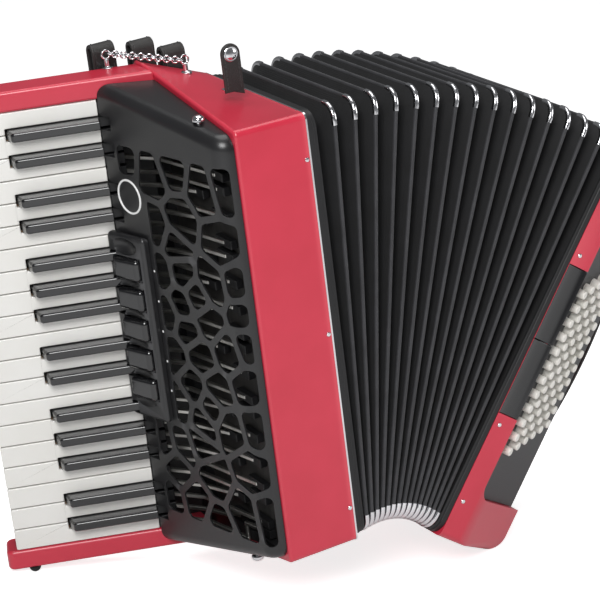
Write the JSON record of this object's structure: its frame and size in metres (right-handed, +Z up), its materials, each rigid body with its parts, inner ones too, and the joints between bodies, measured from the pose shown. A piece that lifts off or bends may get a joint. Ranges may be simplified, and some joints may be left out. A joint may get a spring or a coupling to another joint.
{
  "type": "piano accordion",
  "caption": "Piano accordion standing with fanned bellows: treble case with keyboard and register switches, bass case with slanted button rows, hand strap.",
  "frame": {"origin": "bottom centre of the standing instrument's bounding box", "axes": "+Z up, +Y to the instrument's back, +X from the keyboard side to the bass side"},
  "size_m": [0.6041, 0.2216, 0.4555],
  "materials": {
    "red_lacquer": "satin",
    "bare_wood": "matte",
    "grille_black": "satin",
    "board_grey": "satin",
    "gloss_black": "gloss",
    "key_white": "gloss",
    "button_white": "gloss",
    "badge_white": "gloss",
    "bellows_cloth": "matte",
    "frame_black": "satin",
    "felt_red": "matte",
    "bright_metal": "polished",
    "reed_metal": "satin",
    "strap_leather": "satin",
    "foot_rubber": "matte"
  },
  "bodies": {
    "treble": {"treble_case": "red_lacquer", "keyboard_frame": "red_lacquer", "key_felt": "felt_red", "key_axle": "bright_metal", "treble_soundboard": "bare_wood", "treble_reed_blocks": "bare_wood", "treble_reed_plates": "reed_metal", "grille_cover": "grille_black", "ring_badge": "badge_white", "register_housing": "gloss_black", "treble_bellows_frame": "frame_black", "treble_fasteners": "bright_metal", "keyboard_feet": "foot_rubber", "strap_brackets": "bright_metal", "strap_chain": "bright_metal", "strap_loops": "strap_leather", "bellows_straps": "strap_leather", "strap_snaps": "bright_metal"},
    "key_e_keys": {"key_e": "key_white"},
    "key_d_keys": {"key_d": "key_white"},
    "key_c_keys": {"key_c": "key_white"},
    "key_b_keys": {"key_b": "key_white"},
    "key_a_keys": {"key_a": "key_white"},
    "key_g_keys": {"key_g": "key_white"},
    "key_f_keys": {"key_f": "key_white"},
    "key_d_sharp_keys": {"key_d_sharp": "gloss_black"},
    "key_c_sharp_keys": {"key_c_sharp": "gloss_black"},
    "key_a_sharp_keys": {"key_a_sharp": "gloss_black"},
    "key_g_sharp_keys": {"key_g_sharp": "gloss_black"},
    "key_f_sharp_keys": {"key_f_sharp": "gloss_black"},
    "register_1": {"switch_1": "gloss_black"},
    "register_2": {"switch_2": "gloss_black"},
    "register_3": {"switch_3": "gloss_black"},
    "register_4": {"switch_4": "gloss_black"},
    "register_5": {"switch_5": "gloss_black"},
    "fold_01_card": {"fold_01": "bellows_cloth"},
    "fold_02_card": {"fold_02": "bellows_cloth"},
    "fold_03_card": {"fold_03": "bellows_cloth"},
    "fold_04_card": {"fold_04": "bellows_cloth"},
    "fold_05_card": {"fold_05": "bellows_cloth"},
    "fold_06_card": {"fold_06": "bellows_cloth"},
    "fold_07_card": {"fold_07": "bellows_cloth"},
    "fold_08_card": {"fold_08": "bellows_cloth"},
    "fold_09_card": {"fold_09": "bellows_cloth"},
    "fold_10_card": {"fold_10": "bellows_cloth"},
    "fold_11_card": {"fold_11": "bellows_cloth"},
    "fold_12_card": {"fold_12": "bellows_cloth"},
    "fold_13_card": {"fold_13": "bellows_cloth"},
    "fold_14_card": {"fold_14": "bellows_cloth"},
    "fold_15_card": {"fold_15": "bellows_cloth"},
    "bass": {"bass_bellows_frame": "frame_black", "bass_case": "red_lacquer", "bass_board": "board_grey", "bass_panels": "gloss_black", "bass_reed_block": "bare_wood", "bass_fasteners": "bright_metal", "hand_strap": "strap_leather"},
    "wheel": {"strap_wheel": "bright_metal"},
    "air": {"air_button": "button_white"},
    "buttons": {"bass_buttons": "button_white"}
  },
  "joints": [
    {"name": "key_e_press", "type": "hinge", "parent": "treble", "child": "key_e_keys", "pos_m": [-0.14781, 0.03809, 0.22041], "axis": [0.1306, 0, -0.9914], "range_deg": [0, 1.9], "stiffness_Nm_per_rad": 4, "springref_deg": -4.58},
    {"name": "key_d_press", "type": "hinge", "parent": "treble", "child": "key_d_keys", "pos_m": [-0.14781, 0.03809, 0.22041], "axis": [0.1306, 0, -0.9914], "range_deg": [0, 1.9], "stiffness_Nm_per_rad": 4, "springref_deg": -4.58},
    {"name": "key_c_press", "type": "hinge", "parent": "treble", "child": "key_c_keys", "pos_m": [-0.14781, 0.03809, 0.22041], "axis": [0.1306, 0, -0.9914], "range_deg": [0, 1.9], "stiffness_Nm_per_rad": 4, "springref_deg": -4.58},
    {"name": "key_b_press", "type": "hinge", "parent": "treble", "child": "key_b_keys", "pos_m": [-0.14781, 0.03809, 0.22041], "axis": [0.1306, 0, -0.9914], "range_deg": [0, 1.9], "stiffness_Nm_per_rad": 4, "springref_deg": -4.58},
    {"name": "key_a_press", "type": "hinge", "parent": "treble", "child": "key_a_keys", "pos_m": [-0.14781, 0.03809, 0.22041], "axis": [0.1306, 0, -0.9914], "range_deg": [0, 1.9], "stiffness_Nm_per_rad": 4, "springref_deg": -4.58},
    {"name": "key_g_press", "type": "hinge", "parent": "treble", "child": "key_g_keys", "pos_m": [-0.14781, 0.03809, 0.22041], "axis": [0.1306, 0, -0.9914], "range_deg": [0, 1.9], "stiffness_Nm_per_rad": 4, "springref_deg": -4.58},
    {"name": "key_f_press", "type": "hinge", "parent": "treble", "child": "key_f_keys", "pos_m": [-0.14781, 0.03809, 0.22041], "axis": [0.1306, 0, -0.9914], "range_deg": [0, 1.9], "stiffness_Nm_per_rad": 4, "springref_deg": -4.58},
    {"name": "key_d_sharp_press", "type": "hinge", "parent": "treble", "child": "key_d_sharp_keys", "pos_m": [-0.14781, 0.03809, 0.22041], "axis": [0.1306, 0, -0.9914], "range_deg": [0, 1.9], "stiffness_Nm_per_rad": 4, "springref_deg": -4.58},
    {"name": "key_c_sharp_press", "type": "hinge", "parent": "treble", "child": "key_c_sharp_keys", "pos_m": [-0.14781, 0.03809, 0.22041], "axis": [0.1306, 0, -0.9914], "range_deg": [0, 1.9], "stiffness_Nm_per_rad": 4, "springref_deg": -4.58},
    {"name": "key_a_sharp_press", "type": "hinge", "parent": "treble", "child": "key_a_sharp_keys", "pos_m": [-0.14781, 0.03809, 0.22041], "axis": [0.1306, 0, -0.9914], "range_deg": [0, 1.9], "stiffness_Nm_per_rad": 4, "springref_deg": -4.58},
    {"name": "key_g_sharp_press", "type": "hinge", "parent": "treble", "child": "key_g_sharp_keys", "pos_m": [-0.14781, 0.03809, 0.22041], "axis": [0.1306, 0, -0.9914], "range_deg": [0, 1.9], "stiffness_Nm_per_rad": 4, "springref_deg": -4.58},
    {"name": "key_f_sharp_press", "type": "hinge", "parent": "treble", "child": "key_f_sharp_keys", "pos_m": [-0.14781, 0.03809, 0.22041], "axis": [0.1306, 0, -0.9914], "range_deg": [0, 1.9], "stiffness_Nm_per_rad": 4, "springref_deg": -4.58},
    {"name": "register_1_press", "type": "hinge", "parent": "treble", "child": "register_1", "pos_m": [-0.15044, 0.00473, 0.16842], "axis": [0.1306, 0, -0.9914], "range_deg": [0, 5], "stiffness_Nm_per_rad": 0.15, "springref_deg": -5.73},
    {"name": "register_2_press", "type": "hinge", "parent": "treble", "child": "register_2", "pos_m": [-0.15378, 0.00473, 0.1938], "axis": [0.1306, 0, -0.9914], "range_deg": [0, 5], "stiffness_Nm_per_rad": 0.15, "springref_deg": -5.73},
    {"name": "register_3_press", "type": "hinge", "parent": "treble", "child": "register_3", "pos_m": [-0.15712, 0.00473, 0.21918], "axis": [0.1306, 0, -0.9914], "range_deg": [0, 5], "stiffness_Nm_per_rad": 0.15, "springref_deg": -5.73},
    {"name": "register_4_press", "type": "hinge", "parent": "treble", "child": "register_4", "pos_m": [-0.16047, 0.00473, 0.24456], "axis": [0.1306, 0, -0.9914], "range_deg": [0, 5], "stiffness_Nm_per_rad": 0.15, "springref_deg": -5.73},
    {"name": "register_5_press", "type": "hinge", "parent": "treble", "child": "register_5", "pos_m": [-0.16381, 0.00473, 0.26994], "axis": [0.1306, 0, -0.9914], "range_deg": [0, 5], "stiffness_Nm_per_rad": 0.15, "springref_deg": -5.73},
    {"name": "bellows_fan", "type": "hinge", "parent": "treble", "child": "bass", "pos_m": [0.01371, -0.02674, 0.06114], "axis": [0, 1, 0], "range_deg": [-37, 5]},
    {"name": "fold_01_fan", "type": "hinge", "parent": "treble", "child": "fold_01_card", "pos_m": [0.01371, -0.02674, 0.06114], "axis": [0, 1, 0], "range_deg": [-2.31, 0.31]},
    {"name": "fold_02_fan", "type": "hinge", "parent": "treble", "child": "fold_02_card", "pos_m": [0.01371, -0.02674, 0.06114], "axis": [0, 1, 0], "range_deg": [-4.62, 0.62]},
    {"name": "fold_03_fan", "type": "hinge", "parent": "treble", "child": "fold_03_card", "pos_m": [0.01371, -0.02674, 0.06114], "axis": [0, 1, 0], "range_deg": [-6.94, 0.94]},
    {"name": "fold_04_fan", "type": "hinge", "parent": "treble", "child": "fold_04_card", "pos_m": [0.01371, -0.02674, 0.06114], "axis": [0, 1, 0], "range_deg": [-9.25, 1.25]},
    {"name": "fold_05_fan", "type": "hinge", "parent": "treble", "child": "fold_05_card", "pos_m": [0.01371, -0.02674, 0.06114], "axis": [0, 1, 0], "range_deg": [-11.56, 1.56]},
    {"name": "fold_06_fan", "type": "hinge", "parent": "treble", "child": "fold_06_card", "pos_m": [0.01371, -0.02674, 0.06114], "axis": [0, 1, 0], "range_deg": [-13.88, 1.88]},
    {"name": "fold_07_fan", "type": "hinge", "parent": "treble", "child": "fold_07_card", "pos_m": [0.01371, -0.02674, 0.06114], "axis": [0, 1, 0], "range_deg": [-16.19, 2.19]},
    {"name": "fold_08_fan", "type": "hinge", "parent": "treble", "child": "fold_08_card", "pos_m": [0.01371, -0.02674, 0.06114], "axis": [0, 1, 0], "range_deg": [-18.5, 2.5]},
    {"name": "fold_09_fan", "type": "hinge", "parent": "treble", "child": "fold_09_card", "pos_m": [0.01371, -0.02674, 0.06114], "axis": [0, 1, 0], "range_deg": [-20.81, 2.81]},
    {"name": "fold_10_fan", "type": "hinge", "parent": "treble", "child": "fold_10_card", "pos_m": [0.01371, -0.02674, 0.06114], "axis": [0, 1, 0], "range_deg": [-23.12, 3.12]},
    {"name": "fold_11_fan", "type": "hinge", "parent": "treble", "child": "fold_11_card", "pos_m": [0.01371, -0.02674, 0.06114], "axis": [0, 1, 0], "range_deg": [-25.44, 3.44]},
    {"name": "fold_12_fan", "type": "hinge", "parent": "treble", "child": "fold_12_card", "pos_m": [0.01371, -0.02674, 0.06114], "axis": [0, 1, 0], "range_deg": [-27.75, 3.75]},
    {"name": "fold_13_fan", "type": "hinge", "parent": "treble", "child": "fold_13_card", "pos_m": [0.01371, -0.02674, 0.06114], "axis": [0, 1, 0], "range_deg": [-30.06, 4.06]},
    {"name": "fold_14_fan", "type": "hinge", "parent": "treble", "child": "fold_14_card", "pos_m": [0.01371, -0.02674, 0.06114], "axis": [0, 1, 0], "range_deg": [-32.38, 4.38]},
    {"name": "fold_15_fan", "type": "hinge", "parent": "treble", "child": "fold_15_card", "pos_m": [0.01371, -0.02674, 0.06114], "axis": [0, 1, 0], "range_deg": [-34.69, 4.69]},
    {"name": "strap_wheel_turn", "type": "hinge", "parent": "bass", "child": "wheel", "pos_m": [0.28633, 0.01126, 0.31824], "axis": [0.4923, 0, 0.8704], "continuous": true},
    {"name": "air_button_press", "type": "slide", "parent": "bass", "child": "air", "axis": [-0.8704, 0, 0.4923], "range_m": [0, 0.004], "stiffness_N_per_m": 400, "springref_m": -0.002},
    {"name": "bass_buttons_press", "type": "slide", "parent": "bass", "child": "buttons", "axis": [-0.4551, 0.8524, 0.2574], "range_m": [0, 0.003], "stiffness_N_per_m": 600, "springref_m": -0.001}
  ],
  "couplings": [
    {"joint": "fold_01_fan", "follows": "bellows_fan", "ratio": 0.0625},
    {"joint": "fold_02_fan", "follows": "bellows_fan", "ratio": 0.125},
    {"joint": "fold_03_fan", "follows": "bellows_fan", "ratio": 0.1875},
    {"joint": "fold_04_fan", "follows": "bellows_fan", "ratio": 0.25},
    {"joint": "fold_05_fan", "follows": "bellows_fan", "ratio": 0.3125},
    {"joint": "fold_06_fan", "follows": "bellows_fan", "ratio": 0.375},
    {"joint": "fold_07_fan", "follows": "bellows_fan", "ratio": 0.4375},
    {"joint": "fold_08_fan", "follows": "bellows_fan", "ratio": 0.5},
    {"joint": "fold_09_fan", "follows": "bellows_fan", "ratio": 0.5625},
    {"joint": "fold_10_fan", "follows": "bellows_fan", "ratio": 0.625},
    {"joint": "fold_11_fan", "follows": "bellows_fan", "ratio": 0.6875},
    {"joint": "fold_12_fan", "follows": "bellows_fan", "ratio": 0.75},
    {"joint": "fold_13_fan", "follows": "bellows_fan", "ratio": 0.8125},
    {"joint": "fold_14_fan", "follows": "bellows_fan", "ratio": 0.875},
    {"joint": "fold_15_fan", "follows": "bellows_fan", "ratio": 0.9375}
  ]
}
